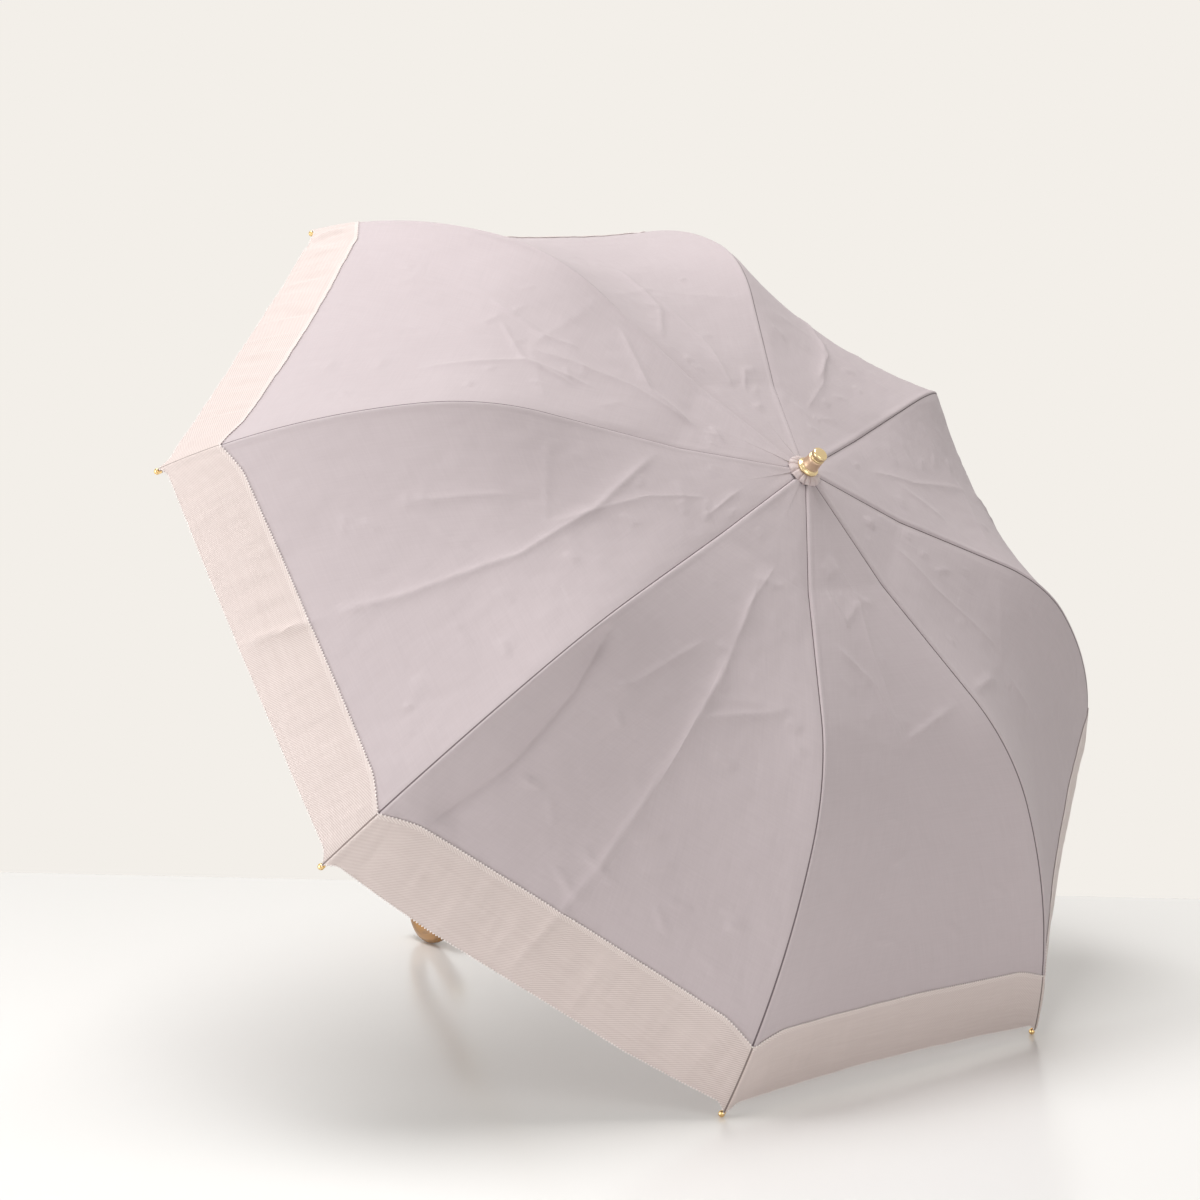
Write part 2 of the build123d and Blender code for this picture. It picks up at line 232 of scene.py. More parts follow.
def uv_parts(blank):
    """The UV map, and its two parts: along the hem from the seam, and out from the crown."""
    uv = blank.node("ShaderNodeTexCoord", out="UV")
    parts = uv.node("ShaderNodeSeparateXYZ", None, {0: uv})
    return uv, parts, Socket(parts.tree, parts.socket.node.outputs[1])


def canopy_cloth():
    material, blank = start_finish("mauve_cloth", Roughness=0.85, Sheen_Weight=0.15,
                                   Sheen_Roughness=0.5, Specular_IOR_Level=0.2)
    uv, across, out = uv_parts(blank)
    warp = noisy(uv, 760.0, 2.0, (1.0, 0.04, 1.0))
    weft = noisy(uv, 760.0, 2.0, (0.04, 1.0, 1.0))
    cloudy = noisy(uv, 9.0)
    weave = (across * (pi / thread)).sine() * (out * (pi / thread)).sine()
    shade = warp * 0.35 + weft * 0.35 + cloudy * 0.3
    cloth = blend_tones(shade, tone(193, 181, 184), tone(210, 199, 202))
    # Painted shade: the seam's shadow darkens the cloth's colour in a thin line along each rib.
    seam_shade = (across.size() - out * seam_shade_widening < seam_shade_half) * 0.85
    crumple = noisy(uv, 38.0, 5.0)
    height = weave * 0.5 + warp * 0.5 + weft * 0.5 + crumple * crumple_high
    return feed(material, Base_Color=blend_tones(seam_shade, cloth, tone(84, 70, 74)),
                Normal=bumped(height, 0.3, 0.1 * mm))


def border_ribbon():
    material, blank = start_finish("beige_ribbon", Roughness=0.55, Sheen_Weight=0.3,
                                   Sheen_Roughness=0.35, Specular_IOR_Level=0.45)
    uv, across, out = uv_parts(blank)
    plain = out < selvage
    twill = ((across * 0.6 + out * (1 - plain * 2)) * (2 * pi / twill_step)).sine() * 0.5 + 0.5
    streak = noisy(uv, 500.0, 2.0, (0.05, 1.0, 1.0))
    shade = twill * 0.55 + streak * 0.3 + plain * 0.15
    ribbon = blend_tones(shade, tone(200, 183, 179), tone(240, 229, 225))
    # Painted shade: the seam's shadow darkens the ribbon's colour in a thin line along each rib.
    seam_shade = (across.size() < ribbon_seam_shade_half) * 0.8
    return feed(material, Base_Color=blend_tones(seam_shade, ribbon, tone(96, 78, 72)),
                Normal=bumped(twill * 0.7 + streak * 0.3, 0.3, 0.15 * mm))


def stitch_thread():
    material, blank = start_finish("stitch_thread", Roughness=0.5, Sheen_Weight=0.3)
    fibre = noisy(blank.node("ShaderNodeTexCoord", out="Object"), 900.0)
    return feed(material, Base_Color=blend_tones(fibre, tone(232, 220, 216), tone(254, 248, 246)))


cloth_finish, ribbon_finish, thread_finish = canopy_cloth(), border_ribbon(), stitch_thread()
print("woven finishes:", cloth_finish.name, ribbon_finish.name, thread_finish.name)

# %% [markdown]
# ## Metal, wood and plastic finishes
# Plated metal is smooth with a few faint rubbed patches, so its roughness varies and its colour hardly
# does. The ribs are duller plated steel whose tips are gilt balls: the tips are the only metal that far
# from the crown, so the distance from the crown tells them apart. The handle is bent cane under a clear
# varnish, with long soft streaks that follow the bar.

# %% Mix the hard finishes
tip_distance = 473.5 * mm               # ribs are gilt beyond this distance from the crown


def metal(name, dark, light, rough):
    material, blank = start_finish(name, Metallic=1.0)
    place = blank.node("ShaderNodeTexCoord", out="Object")
    patches, scuffs = noisy(place, 60.0), noisy(place, 720.0, 4.0)
    return feed(material, Base_Color=blend_tones(patches, tone(*dark), tone(*light)),
                Roughness=patches * 0.08 + scuffs * 0.1 + rough,
                Normal=bumped(scuffs, 0.12, 0.05 * mm))


def rib_metal():
    material, blank = start_finish("rib_plate", Metallic=1.0)
    place = blank.node("ShaderNodeTexCoord", out="Object")
    far = place.node("ShaderNodeVectorMath", {"operation": "DISTANCE"},
                     {0: place, 1: tuple(crown)}, out="Value")
    gilt = far > tip_distance
    scuffs = noisy(place, 700.0, 4.0)
    steel = blend_tones(scuffs, tone(150, 140, 128), tone(186, 176, 162))
    return feed(material, Base_Color=blend_tones(gilt, steel, tone(232, 198, 140)),
                Roughness=(1 - gilt) * 0.16 + scuffs * 0.12 + 0.12,
                Normal=bumped(scuffs, 0.1, 0.05 * mm))


def bent_cane():
    material, blank = start_finish("golden_cane", Coat_Roughness=0.08, Roughness=0.38)
    material.node_tree.nodes["Principled BSDF"].inputs["Coat Weight"].default_value = 0.7
    uv = blank.node("ShaderNodeTexCoord", out="UV")
    grain = noisy(uv, 160.0, 5.0, (1.0, 0.06, 1.0))
    mottle = noisy(uv, 28.0, 4.0)
    wood = blend_tones(grain * 0.7 + mottle * 0.8 - 0.25, tone(92, 56, 22), tone(206, 152, 80))
    return feed(material, Base_Color=wood, Normal=bumped(grain, 0.15, 0.1 * mm))


def plastic(name, dark, light, rough):
    material, blank = start_finish(name, Specular_IOR_Level=0.5)
    place = blank.node("ShaderNodeTexCoord", out="Object")
    cloudy, pits = noisy(place, 35.0), noisy(place, 1400.0, 2.0)
    return feed(material, Base_Color=blend_tones(cloudy, tone(*dark), tone(*light)),
                Roughness=cloudy * 0.1 + rough, Normal=bumped(pits, 0.1, 0.04 * mm))


gold = metal("gold_plate", (206, 180, 132), (238, 218, 176), 0.1)
tube_metal = metal("tube_anodised", (186, 170, 144), (212, 196, 170), 0.26)
wire_metal = metal("wire_steel", (150, 150, 152), (190, 190, 192), 0.25)
rib_finish, cane_finish = rib_metal(), bent_cane()
barrel_finish = metal("blush_barrel", (206, 176, 148), (226, 200, 172), 0.3)
moulding_finish = plastic("champagne_moulding", (176, 156, 132), (200, 180, 156), 0.34)
print("finishes:", len(bpy.data.materials))

# %% [markdown]
# ## Finishing the hard parts
# These parts keep the shape that the frame gives them, so they only need a finish.

# %% Give the frame's own parts their finishes
plain_parts = {"upper_tube": tube_metal, "lower_tube": tube_metal, "notch_wire": wire_metal,
               "top_notch": moulding_finish, "tube_lock": moulding_finish, "runner": moulding_finish,
               "tube_plug": moulding_finish, "shaft_button": gold, "runner_button": gold,
               "handle_collar": gold, "handle_end_cap": gold}
for rib in ribs:
    for part in ("inner_rib", "outer_rib", "strut"):
        plain_parts[f"{part}_{rib}"] = rib_finish
for part, finish in plain_parts.items():
    mesh = frame["nodes"][part].data
    mesh.materials.clear()
    mesh.materials.append(finish)
print("parts finished:", len(plain_parts))

# %% [markdown]
# ## The line of the cloth
# Seen from the side, the cloth leaves the crown at a gentle slope, runs almost level over the struts,
# turns down at the elbows and falls steeply to the hem. We walk along it in small steps and keep how far
# out and how far down each step is, so that any length of cloth from the crown can be looked up.

# %% Walk down the cloth
line_step = 0.5 * mm
cloth_start = 4.0 * mm
# Each run is a length in millimetres and the slope in degrees at its start and end.
line_runs = [(100, 11.0, 11.0), (105, 4.4, 4.4), (95, 4.4, 34.0), (200, 34.0, 58.95)]
crown_edge, elbow_seam, hem_edge = 7.0 * mm, 258.0 * mm, 493.0 * mm

cloth_line = [(cloth_start, 0.0, 0.0)]  # how far out, how high, and the slope
for length, first_slope, last_slope in line_runs:
    steps = round(length * mm / line_step)
    for step in range(steps):
        slope = radians(first_slope + (last_slope - first_slope) * (step + 0.5) / steps)
        out, height, _ = cloth_line[-1]
        cloth_line.append((out + line_step * cos(slope), height - line_step * sin(slope), slope))


def cloth_at(arc):
    """How far out and up the cloth is along a rib, and its slope, at a length of cloth from the crown."""
    place = min(arc / line_step, len(cloth_line) - 1.001)   # never past the end of the line
    low = int(place)
    return [a + (b - a) * (place - low) for a, b in zip(cloth_line[low], cloth_line[low + 1])]


def gore_half(arc):
    """Half the width of a gore at that length of cloth."""
    return cloth_at(arc)[0] * sin(half_gore)


print("hem is", round(cloth_at(hem_edge)[0], 3), "m from the shaft")

# %% [markdown]
# ## Creases
# A folding parasol is stored folded, so its open cloth keeps the creases. Every gore has a bent line
# across it where the ribs fold, and a long line down its middle. Each gore also has a few lines of its
# own, and short ones strewn by a seeded chance. A line is given by points on the gore: how far across it,
# from 0 at one rib to 1 at the next, and how many millimetres from the crown. The cloth rises to a sharp
# crest along it and falls away softly on both sides, within a few times the width. Where the rise is
# negative it makes a furrow instead.

# %% Lay out the creases
fine, middling, broad = 2.5, 3.1, 3.7   # how wide a crease is, in millimetres
# Each line is its points, its rise in millimetres and its width.
stored_lines = [
    ([(0.04, 205), (0.5, 240), (0.96, 205)], 0.65, broad),
    ([(0.62, 92), (0.5, 150), (0.53, 250)], 1, broad),
]
gore_lines = {
    1: [([(0.08, 184), (0.46, 136), (0.64, 88)], 1.9, middling),
        ([(0.3, 300), (0.42, 235), (0.4, 200)], 1.4, middling),
        ([(0.75, 330), (0.62, 240), (0.7, 190)], 1.7, broad),
        ([(0.38, 280), (0.62, 240), (0.66, 170)], 1.3, middling)],
    2: [([(0.52, 420), (0.56, 368), (0.6, 276), (0.52, 200), (0.08, 116)], 2.0, broad),
        ([(0.3, 345), (0.38, 250)], 1.2, broad),
        ([(0.8, 112), (0.6, 60)], 1.3, fine),
        ([(0.47, 500), (0.52, 428)], 3.8, 4.3),
        ([(0.36, 330), (0.62, 300)], 1.2, middling)],
    3: [([(0.52, 188), (0.5, 300), (0.48, 402), (0.44, 505)], 2.5, broad),
        ([(0.03, 235), (0.13, 300), (0.15, 370), (0.1, 440)], -6.0, 10),
        ([(0.46, 268), (0.88, 212)], 1.9, middling),
        ([(0.56, 385), (0.66, 365)], 1.4, fine),
        ([(0.5, 372), (0.6, 350)], 1.2, fine),
        ([(0.4, 392), (0.56, 404)], 1.3, fine),
        ([(0.38, 412), (0.5, 428)], 1.3, fine),
        ([(0.22, 290), (0.4, 190)], 1.4, broad),
        ([(0.5, 120), (0.52, 186)], 1.5, middling)],
    4: [([(0.14, 144), (0.44, 184), (0.5, 240)], 1.9, middling),
        ([(0.44, 240), (0.9, 208)], 1.9, middling),
        ([(0.58, 112), (0.4, 70)], 1.3, fine),
        ([(0.2, 96), (0.34, 130), (0.58, 112)], 1.4, fine)],
    5: [([(0.02, 204), (0.38, 236)], 1.9, middling),
        ([(0.5, 330), (0.45, 240)], 1.5, broad)],
    6: [([(0.5, 400), (0.55, 260)], 2, broad),
        ([(0.2, 170), (0.5, 120)], 1.4, middling)],
    7: [([(0.54, 148), (0.5, 210), (0.6, 300)], 1.9, middling),
        ([(0.5, 410), (0.6, 300)], 2, broad)],
    8: [([(0.92, 152), (0.6, 200), (0.5, 300)], 1.9, middling),
        ([(0.3, 120), (0.5, 90)], 1.3, fine)],
}
small_creases, small_width = 22, 2.4    # how many short creases each gore has, and how wide they are
crease_reach = 120                      # no crease matters farther than this from all of its points


def smooth(value, low, high):
    """0 below low, 1 above high and a smooth ramp between."""
    share = min(1.0, max(0.0, (value - low) / (high - low)))
    return share * share * (3 - 2 * share)


def crest(across, arc, points, width):
    """How near a place on the gore is to a crease: 1 on it, fading to 0 away from it and at its ends."""
    nearest, total = 0.0, len(points) - 1
    if min(abs(arc - y) for _, y in points) > crease_reach:
        return 0.0
    for index in range(total):
        (x0, y0), (x1, y1) = points[index], points[index + 1]
        run = (x1 - x0) ** 2 + (y1 - y0) ** 2
        along = min(1.0, max(0.0, ((across - x0) * (x1 - x0) + (arc - y0) * (y1 - y0)) / run))
        gap = hypot(across - x0 - along * (x1 - x0), arc - y0 - along * (y1 - y0))
        if gap < 5 * width:
            ends = smooth(min(index + along, total - index - along), 0, 0.35)
            nearest = max(nearest, exp(-gap / width) * ends)
    return nearest


gore_creases = {}
for gore in ribs:
    gore_creases[gore] = []
    chance = Random(gore)
    strewn = []
    for _ in range(small_creases):
        share, arc, turn = chance.uniform(0.15, 0.85), chance.uniform(70, 420), chance.uniform(-0.9, 0.9)
        reach = chance.uniform(9, 30)
        tip = share + reach * cos(turn) / (2 * gore_half(arc * mm) / mm)
        strewn.append(([(share, arc), (tip, arc + reach * sin(turn))], chance.uniform(0.5, 1.3), small_width))
    for points, rise, width in stored_lines + gore_lines[gore] + strewn:
        flat = [((2 * share - 1) * gore_half(arc * mm) / mm, arc) for share, arc in points]
        gore_creases[gore].append((flat, rise * mm, width))
print("creases:", sum(len(lines) for lines in gore_creases.values()))

# %% [markdown]
# ## The shape of a gore
# Each gore is stretched between two ribs, so straight across it runs from rib to rib, and it bends only
# the other way. Cloth that is pulled tight over a bent rib also pulls in between the ribs, so every gore
# sags. On top of that come the creases, ripples along the hem, gentle unevenness, and the seams.

# %% Shape the gores
# Each gore's own millimetres: how deep it sags, how high its hem ripples, how far its hem hangs down.
sag_deep = {1: 15, 2: 15, 3: 15, 4: 15, 5: 15, 6: 15, 7: 15, 8: 23}
hem_ripples = {1: 2.2, 2: 0.6, 3: 0.7, 4: 0.6, 5: 0.7, 6: 0.7, 7: 0.6, 8: 1.0}
hem_drops = {1: 2, 2: 3, 3: 9, 4: -3, 5: 0, 6: 2, 7: 1, 8: 3}
# A seam is a groove along the rib, with a soft tuck on one side and a low welt on the other.
groove_deep, groove_wide = 1.5 * mm, 1.0 * mm
tuck_wide = 6.0 * mm
welt_rise, welt_at, welt_wide = 0.35 * mm, 3.4 * mm, 2.2 * mm


def sag(gore, across_share, arc):
    """How far the stretched cloth pulls in between two ribs: most of all just beyond the elbows."""
    y = arc / mm
    profile = smooth(y, 110, 270) * (1 - 0.75 * smooth(y, 290, 500))
    return sag_deep[gore] * mm * profile * (1 - across_share ** 2)


def gore_relief(gore, across, arc):
    """How far the cloth stands out from the plain gore. Across is from the gore's middle line."""
    half = gore_half(arc)
    from_rib = half - abs(across)
    x, y = across / mm, arc / mm
    rise = sum(height * crest(x, y, points, width) for points, height, width in gore_creases[gore])
    # Ripples some 13 mm and 6 mm long run along the hem, then a wide unevenness covers everything.
    ripple = noise.noise(Vector((x / 13 + y / 60, 3.1 * gore, 0)))
    ripple += 0.5 * noise.noise(Vector((x / 6, gore, 4)))
    rise += hem_ripples[gore] * mm * smooth(y, 425, 470) * (1.3 - smooth(y, 475, 500)) * ripple
    spot = Vector((x / 42, y / 60, 7.3 * gore))
    rise += 0.9 * mm * noise.noise(spot) + 0.3 * mm * noise.noise(spot * 3.7)
    return rise * smooth(from_rib, 0.5 * mm, 9 * mm) - sag(gore, across / half, arc)


def seam_relief(from_rib, following):
    """On one side of a seam the cloth is tucked down to it; on the other it folds over its allowance."""
    if not following:
        return -groove_deep * exp(-from_rib / tuck_wide)
    welt = welt_rise * exp(-((from_rib - welt_at) / welt_wide) ** 2)
    return welt - groove_deep * exp(-(from_rib / groove_wide) ** 2)


def cloth_place(rib, share, arc, lift=0.0):
    """A point of the cloth. Share is from -1 at the middle of the gore before the rib to 1 after it."""
    out, height, slope = cloth_at(arc)
    following = share >= 0
    gore = rib if following else (rib - 2) % rib_count + 1
    half = out * sin(half_gore)
    from_rib = abs(share) * half
    azimuth = radians(first_rib + rib_step * (rib - 1))
    turn = half_gore if following else -half_gore
    rib_out = Vector((cos(azimuth), sin(azimuth), 0))
    gore_out = Vector((cos(azimuth + turn), sin(azimuth + turn), 0))
    middle = gore_out * out * cos(half_gore)
    flat = (rib_out * out).lerp(middle, abs(share)) + Vector((0, 0, height))
    upward = Vector((0, 0, cos(slope)))
    gore_normal = (gore_out * sin(slope) + upward * cos(half_gore)).normalized()
    rib_normal = (rib_out * sin(slope) + upward).normalized()
    normal = rib_normal.lerp(gore_normal, smooth(from_rib, 0, 6 * mm)).normalized()
    across = (half - from_rib) * (-1 if following else 1)
    rise = gore_relief(gore, across, arc) + seam_relief(from_rib, following)
    return standing @ (flat + normal * (rise + lift))


print("a place on the cloth:", [round(x, 3) for x in cloth_place(2, 0.5, 0.3)])

# %% [markdown]
# ## Cutting the canopy for the ribs
# The real canopy is one skin. Ours has to follow eight ribs that swing down and fold at their elbows, so
# we cut it where it bends least: down the middle of each gore, and across the elbows. Neighbouring pieces
# share the same points along a cut and stay one smooth skin while the parasol is open. As it closes, each
# piece rides on its rib.
# A grid of vertices is laid over each piece, closer together near the seam where the shape is finest. The
# edges along a cut are marked sharp, or the rim that gives the cloth its thickness would shade the skin.

# %% Cut the canopy
across_steps = 88                       # grid steps on each side of a rib
seam_crowding = 0.5                     # how wide a step is at the seam, as a share of the average
cloth_thick, ribbon_lift = 0.35 * mm, 0.7 * mm
border_start, border_dip, dip_wide = 439.5 * mm, 8 * mm, 28 * mm
ribbon_lap = 8 * mm                     # how far the ribbon covers the edge of the cloth
tip_point, tip_wide = 7 * mm, 11 * mm   # how far the ribbon is drawn out to a rib's tip


def border_edge(from_rib, half=1, gore=1):
    """Where the ribbon starts: it dips towards the tip at each seam."""
    return border_start + border_dip * max(0.0, 1 - from_rib / dip_wide) ** 1.3


def under_ribbon(from_rib, half, gore):
    """Where the canopy cloth ends, hidden by the ribbon."""
    return border_edge(from_rib) + ribbon_lap


def hem(from_rib, half, gore):
    """Where the ribbon ends: drawn out to a point at each tip, and its own way between them."""
    drop = hem_drops[gore] * mm * (1 - (1 - from_rib / half) ** 2)
    return hem_edge + tip_point * max(0.0, 1 - from_rib / tip_wide) ** 2 + drop


def add_piece(name, bm, finish):
    """Makes a smooth object of a bmesh at the origin."""
    mesh = bpy.data.meshes.new(name)
    bm.to_mesh(mesh)
    bm.free()
    mesh.materials.append(finish)
    mesh.shade_smooth()
    piece = bpy.data.objects.new(name, mesh)
    bpy.context.scene.collection.objects.link(piece)
    return piece


def cloth_grid(name, rib, first, last, rows, lift, finish, own_edge=0.0):
    """A strip of cloth over one rib, from middle to middle of its gores, between two edges.

    Its UV map counts from the crown, or from the first edge where own_edge is 1. Where an edge is
    depends on how wide the gore is there, so three rounds settle the place.
    """
    bm = bmesh.new()
    bmesh.ops.create_grid(bm, x_segments=2 * across_steps, y_segments=rows, size=1)
    uv = bm.loops.layers.uv.new("uv")
    spots = {}
    area = 0.0
    for vert in bm.verts:
        side = abs(vert.co.x)
        share = side * (seam_crowding + (1 - seam_crowding) * side)
        share *= -1 if vert.co.x > 0 else 1
        gore = rib if share >= 0 else (rib - 2) % rib_count + 1
        half = gore_half(elbow_seam)
        for _ in range(3):
            low, high = first(abs(share) * half, half, gore), last(abs(share) * half, half, gore)
            arc = low + (high - low) * (vert.co.y + 1) / 2
            half = gore_half(arc)
        spots[vert.index] = (share * half, arc - own_edge * low)
        vert.co = cloth_place(rib, share, arc, lift)
    for face in bm.faces:
        area += face.calc_area()
        for loop in face.loops:
            loop[uv].uv = spots[loop.vert.index]
    for edge in bm.edges:
        edge.smooth = not edge.is_boundary
    piece = add_piece(name, bm, finish)
    skin = piece.modifiers.new("thickness", "SOLIDIFY")
    skin.thickness, skin.offset = cloth_thick, -1
    return piece, area


def fold_with(piece, body):
    """Rides on a rib's body, with a mesh of its own."""
    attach(piece, body)
    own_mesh(piece)


def declare(arc, length):
    """Works out how wide the flat cut is at its wider end, and keeps nothing. The length is not used."""
    2 * gore_half(arc)


def along_rib(arc):
    """An edge at the same length of cloth everywhere."""
    return lambda from_rib, half, gore: arc


upper_rows, lower_rows, ribbon_rows = 90, 70, 24
for rib in ribs:
    inner, area = cloth_grid(f"canopy_upper_{rib}", rib, along_rib(crown_edge), along_rib(elbow_seam),
                             upper_rows, 0, cloth_finish)
    fold_with(inner, f"inner_rib_{rib}")
    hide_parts(f"canopy_inner_{rib}")
    declare(elbow_seam, elbow_seam - crown_edge)
    outer, area = cloth_grid(f"canopy_lower_{rib}", rib, along_rib(elbow_seam), under_ribbon,
                             lower_rows, 0, cloth_finish)
    fold_with(outer, f"outer_rib_{rib}")
    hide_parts(f"canopy_outer_{rib}")
    cloth_end = border_edge(0) + ribbon_lap
    declare(cloth_end, cloth_end - elbow_seam)
    ribbon, area = cloth_grid(f"border_{rib}", rib, border_edge, hem, ribbon_rows, ribbon_lift,
                              ribbon_finish, 1.0)
    fold_with(ribbon, f"outer_rib_{rib}")
    declare(hem_edge, hem(0, 1, rib) - border_edge(1))
print("canopy pieces:", 3 * rib_count)

# %% [markdown]
# ## Stitching the border
# A row of small bright stitches runs along both edges of the ribbon. Each is a bead of thread less than
# two millimetres across, pressed into the cloth at the edge, so a coarse ball is enough.

# %% Sew the stitches
stitch_step, stitch_out = 2.3 * mm, 0.1 * mm
stitch_long, stitch_wide, stitch_high = 0.7 * mm, 0.9 * mm, 0.5 * mm    # half sizes of a bead
beside_share = 0.004                    # how far aside we look, to find the way along the edge


def stitch_row(name, rib, edge, outward):
    """A row of stitches over one rib, along the line that edge gives."""
    bm = bmesh.new()
    count = int(gore_half(edge(1, 1, rib)) / stitch_step)
    for index in range(-count, count + 1):
        gore = rib if index >= 0 else (rib - 2) % rib_count + 1
        half = gore_half(hem_edge)
        for _ in range(3):
            arc = edge(min(abs(index) * stitch_step, half), half, gore) + outward
            half = gore_half(arc)
        share = max(-0.999, min(0.999, index * stitch_step / half))
        here = cloth_place(rib, share, arc, ribbon_lift)
        beside = cloth_place(rib, share + beside_share, arc, ribbon_lift)
        above = cloth_place(rib, share, arc, 2 * ribbon_lift)
        along, up = (beside - here).normalized(), (above - here).normalized()
        tilt = Matrix((along, up.cross(along), up)).transposed().to_4x4()
        size = Matrix.Diagonal((stitch_long, stitch_wide, stitch_high, 1))
        bmesh.ops.create_icosphere(bm, subdivisions=1, radius=1,
                                   matrix=Matrix.Translation(here) @ tilt @ size)
    piece = add_piece(name, bm, thread_finish)
    fold_with(piece, f"outer_rib_{rib}")
    return len(piece.data.polygons)


faces = 0
for rib in ribs:
    faces += stitch_row(f"border_stitches_{rib}", rib, border_edge, -stitch_out)
    faces += stitch_row(f"hem_stitches_{rib}", rib, hem, stitch_out)
print("stitch faces:", faces)

# %% [markdown]
# ## Ferrule and rosette
# The ferrule is turned work: a gilt flange, a tapered barrel and a rounded gilt cap. Each is one outline,
# whose corners are eased as a file would ease them, spun round the shaft. Under it sits a small rosette
# of pleated cloth that hides where the gores meet; it is spun too, and its rim is pushed into pleats.

# %% Turn the ferrule
turn_steps = 96                         # facets round the ferrule


def turned(outline, steps):
    """A bmesh of an outline of radius and height in millimetres, spun round the Z axis."""
    bm = bmesh.new()
    verts = [bm.verts.new((radius * mm, 0, height * mm)) for radius, height in outline]
    edges = [bm.edges.new(pair) for pair in zip(verts, verts[1:])]
    bmesh.ops.spin(bm, geom=verts + edges, cent=(0, 0, 0), axis=(0, 0, 1), dvec=(0, 0, 0),
                   angle=2 * pi, steps=steps, use_merge=True)
    bmesh.ops.remove_doubles(bm, verts=bm.verts, dist=1e-6)
    return bm


def stand_up(name, bm, finish, body, replaced):
    """Turns a bmesh from the shaft's own axes to the leaning parasol and makes it a piece of a body."""
    bmesh.ops.recalc_face_normals(bm, faces=bm.faces)
    bmesh.ops.transform(bm, matrix=standing, verts=bm.verts)
    piece = add_piece(name, bm, finish)
    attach(piece, body)
    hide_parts(replaced)
    return piece


def eased(outline, radius=0.35):
    """Replaces each corner of an outline with three points on a small curve."""
    made = [outline[0]]
    for before, corner, after in zip(outline, outline[1:], outline[2:]):
        here = Vector(corner)
        way_in, way_out = Vector(before) - here, Vector(after) - here
        reach = min(radius, way_in.length / 2.2, way_out.length / 2.2)
        start, end = here + way_in.normalized() * reach, here + way_out.normalized() * reach
        made += [start, (start + end + 2 * here) / 4, end]
    return made + [outline[-1]]


flange_outline = eased([(4.3, 2.0), (7.6, 2.1), (8.6, 2.9), (8.7, 3.9), (7.9, 4.7), (7.2, 4.9),
                        (6.8, 6.2), (4.3, 6.2), (4.3, 2.0)])
barrel_outline = eased([(0, 5.9), (6.8, 5.9), (6.8, 6.9), (6.4, 9.0), (6.2, 11.5), (6.1, 14.6),
                        (0, 14.6)], 0.8)
cap_outline = eased([(0, 14.6), (5.8, 14.6), (6.1, 15.3), (6.1, 16.0), (5.7, 16.3), (5.7, 16.7),
                     (6.0, 17.0), (6.0, 19.6), (5.3, 20.6), (3.8, 21.0), (0, 21.0)], 0.5)
stand_up("ferrule_flange", turned(flange_outline, turn_steps), gold,
         "upper_shaft", "ferrule_base")
stand_up("ferrule_barrel_turned", turned(barrel_outline, turn_steps), barrel_finish,
         "upper_shaft", "ferrule_barrel")
stand_up("ferrule_cap_turned", turned(cap_outline, turn_steps), gold,
         "upper_shaft", "ferrule_cap")
print("points on the ferrule's outlines:", len(flange_outline) + len(barrel_outline) + len(cap_outline))

# %% Pleat the rosette
pleats, pleat_deep = 13, 2.4 * mm
slit_wide = 0.13                        # half the width of a fold, as a share of one pleat
rosette_flat, rosette_disc, rosette_thick = 29 * mm, 28.5 * mm, 0.5 * mm


def rosette_cloth():
    material, blank = start_finish("rosette_cloth", Roughness=0.75, Sheen_Weight=0.3)
    place = blank.node("ShaderNodeTexCoord", out="Object")
    weave, cloudy = noisy(place, 2400.0, 2.0), noisy(place, 160.0)
    return feed(material, Base_Color=blend_tones(cloudy, tone(196, 180, 180), tone(222, 208, 206)),
                Normal=bumped(weave, 0.4, 0.1 * mm))


def rosette():
    """A shallow cone of cloth whose rim drops and draws in at each fold between two pleats."""
    outline = eased([(5.2, 1.9), (8.6, 1.6), (11.4, 1.0), (13.2, -0.3), (13.9, -1.5)], 1.2)
    bm = turned(outline, 2 * turn_steps)
    for vert in bm.verts:
        out = hypot(vert.co.x, vert.co.y)
        azimuth = vert.co.xy.angle_signed(Vector((1, 0)))
        share = smooth(out, 5 * mm, 14 * mm)
        turn = (pleats * azimuth / (2 * pi) + 0.25 * sin(3 * azimuth)) % 1
        slit = exp(-((turn - 0.5) / slit_wide) ** 2)
        vert.co.z -= pleat_deep * share * slit
        vert.co.xy *= 1 - 0.05 * share * slit
    piece = stand_up("rosette", bm, rosette_cloth(), "upper_shaft", "fabric_rosette")
    skin = piece.modifiers.new("thickness", "SOLIDIFY")
    skin.thickness, skin.offset = rosette_thick, 0
    return piece


print("rosette:", len(rosette().data.vertices), "vertices")

# %% [markdown]
# ## The handle
# The handle is one bar of cane, straight at first and then bent to a crook. A grid laid round and along
# the bar gives even rings and a UV map that follows the bend, so that the grain does too.

# %% Bend the handle
bar_radius, crook_radius, crook_leg = 8.0 * mm, 28.9 * mm, 34.0 * mm
grip_from, bend_start = 534.0 * mm, 613.52 * mm     # both from the crown down the shaft
crook_turn = radians(-100.5)            # the way the crook bends, about the shaft
around_steps, along_steps = 40, 150
bar_waver = 0.012                       # how far the cane strays from round, as a share of its radius


def bar_line(length):
    """A point of the bar's middle line and its direction, from the length along it."""
    out = Vector((cos(crook_turn), sin(crook_turn), 0))
    down = Vector((0, 0, -1))
    straight, bent = bend_start - grip_from, pi * crook_radius
    if length < straight:
        return down * (grip_from + length), down
    angle = min(pi, (length - straight) / crook_radius)
    centre = down * bend_start + out * crook_radius
    here = centre - out * crook_radius * cos(angle) + down * crook_radius * sin(angle)
    way = out * sin(angle) + down * cos(angle)
    return here + way * max(0.0, length - straight - bent), way


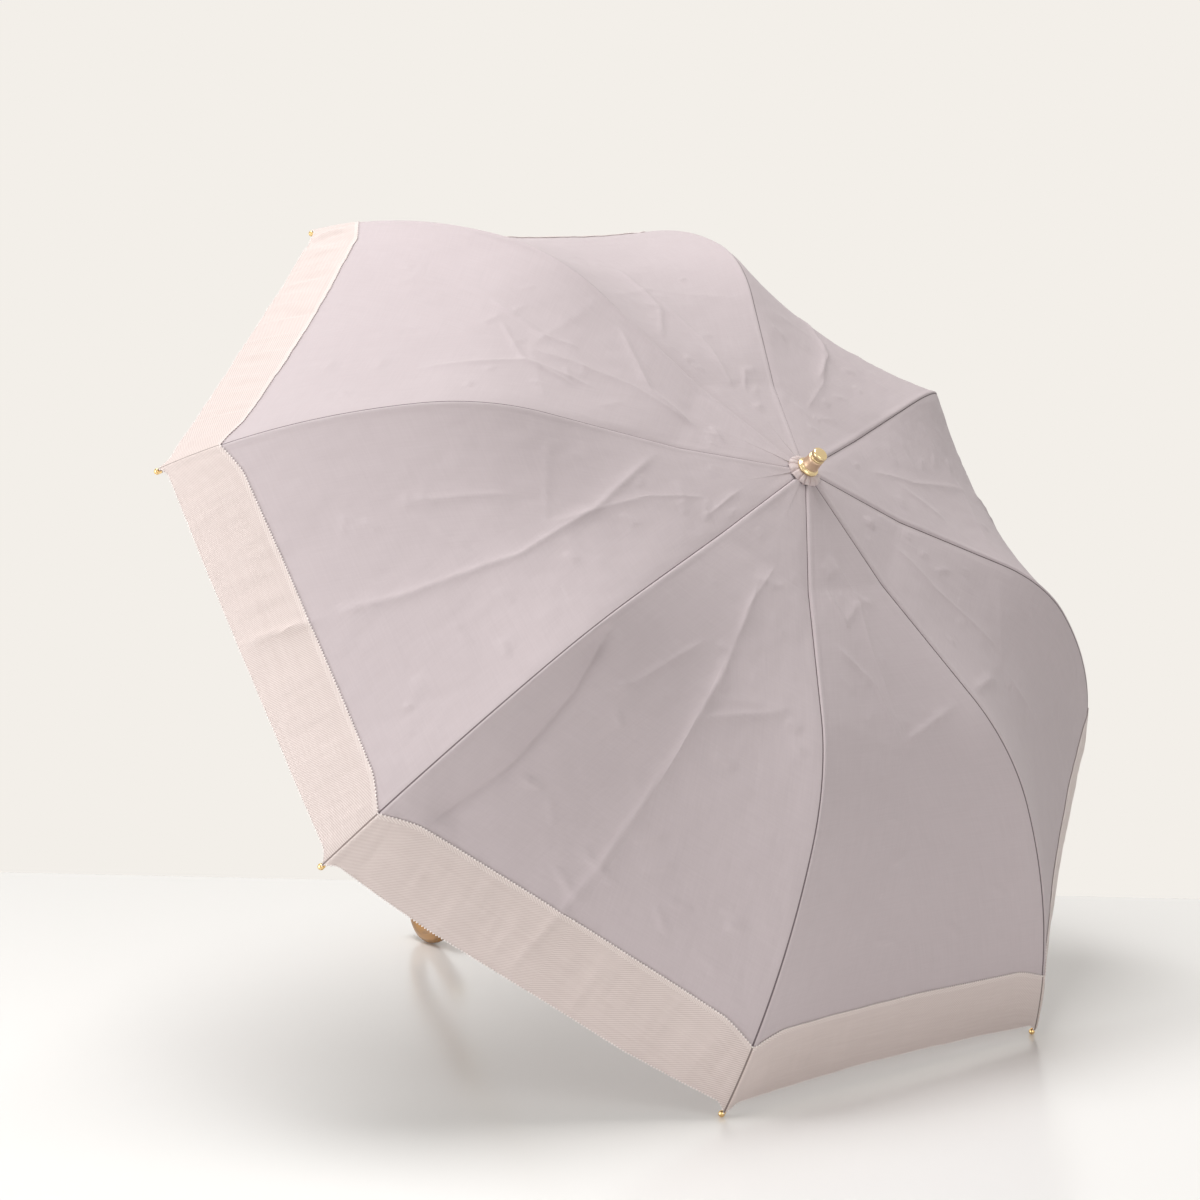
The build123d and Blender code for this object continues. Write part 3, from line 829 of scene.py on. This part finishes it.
def handle_bar():
    """The whole bar: a grid wrapped round its middle line and closed at both ends."""
    bm = bmesh.new()
    bmesh.ops.create_grid(bm, x_segments=around_steps, y_segments=along_steps, size=1)
    uv = bm.loops.layers.uv.new("uv")
    whole = bend_start - grip_from + pi * crook_radius + crook_leg
    side = Vector((-sin(crook_turn), cos(crook_turn), 0))
    spots = {}
    for vert in bm.verts:
        angle, length = pi * vert.co.x, whole * (vert.co.y + 1) / 2
        centre, way = bar_line(length)
        thick = bar_radius * (1 + bar_waver * sin(40 * length / whole) * sin(angle))
        spots[vert.index] = (angle * bar_radius, length)
        vert.co = centre + (side * cos(angle) + side.cross(way) * sin(angle)) * thick
    for face in bm.faces:
        for loop in face.loops:
            loop[uv].uv = spots[loop.vert.index]
    bmesh.ops.remove_doubles(bm, verts=bm.verts, dist=1e-6)
    rims = [edge for edge in bm.edges if edge.is_boundary]
    bmesh.ops.holes_fill(bm, edges=rims, sides=0)
    return stand_up("cane_handle", bm, cane_finish, "lower_shaft", "handle")


print("handle:", len(handle_bar().data.polygons), "faces")

# %% [markdown]
# ## Room and light
# The parasol stands on a pale glossy floor that meets a pale wall. Only the floor is built; the wall is
# the colour of the world, so it never hides the parasol from behind. A large soft lamp hangs overhead,
# weaker ones stand on the left and in front, and the world fills the rest.

# %% Lay the floor and hang the lamps
wall_tone = tone(243, 239, 233)
wall_left, wall_right = Vector((-0.161, 0.807, 0)), Vector((0.668, -0.062, 0))
floor_half = 4.5                        # metres; the floor ends on the line through the two points above
lamp_colour = (1.0, 0.99, 0.98)
room_fill = 0.27                        # how bright the wall is as a light, beside how it looks


def pale_floor():
    material, blank = start_finish("pale_floor", Specular_IOR_Level=0.5)
    place = blank.node("ShaderNodeTexCoord", out="Object")
    cloudy = noisy(place, 1.3)
    return feed(material, Base_Color=blend_tones(cloudy, tone(251, 251, 250), tone(253, 253, 252)),
                Roughness=cloudy * 0.06 + 0.16)


bm = bmesh.new()
bmesh.ops.create_grid(bm, x_segments=8, y_segments=8, size=1)
along_wall = (wall_right - wall_left).normalized()
from_wall = Vector((along_wall.y, -along_wall.x, 0))
if from_wall.dot(camera.location - wall_left) < 0:
    from_wall = -from_wall
foot = (wall_left + wall_right) / 2
for vert in bm.verts:
    vert.co = foot + along_wall * 2 * floor_half * vert.co.x + from_wall * floor_half * (vert.co.y + 1)
bmesh.ops.recalc_face_normals(bm, faces=bm.faces)
floor = add_piece("floor", bm, pale_floor())


def lamp(name, away, size, watts):
    """A square soft lamp, so far away from the middle of the parasol, that shines at it."""
    away = Vector(away)
    data = bpy.data.lights.new(name, "AREA")
    data.size, data.energy, data.color = size, watts, lamp_colour
    item = bpy.data.objects.new(name, data)
    item.location = (cad_box[0] + cad_box[1]) / 2 + away
    item.rotation_euler = (-away).to_track_quat("-Z", "Y").to_euler()
    bpy.context.scene.collection.objects.link(item)


lamp("key", (-0.2, 0.3, 2.3), 1.5, 46)
lamp("side", (-2.3, 0.5, 0.35), 1.3, 27)
lamp("front", (-0.4, -2.5, 0.9), 1.3, 14)

world = bpy.data.worlds.new("room")
world.use_nodes = True
bpy.context.scene.world = world
rays = world.node_tree.nodes.new("ShaderNodeLightPath")
facing = Socket(world.node_tree, rays.outputs["Is Camera Ray"])
mirrored = Socket(world.node_tree, rays.outputs["Is Glossy Ray"])
background = world.node_tree.nodes["Background"]
background.inputs["Color"].default_value = wall_tone
strength = facing.math("MAXIMUM", facing, mirrored) * (1 - room_fill) + room_fill
world.node_tree.links.new(strength.socket, background.inputs["Strength"])
bpy.context.scene.view_settings.view_transform = "Standard"
print("lamps:", len(bpy.data.lights))

# %% Print the size of the frame
print("size of the frame:", [round(x, 3) for x in cad_box[1] - cad_box[0]])
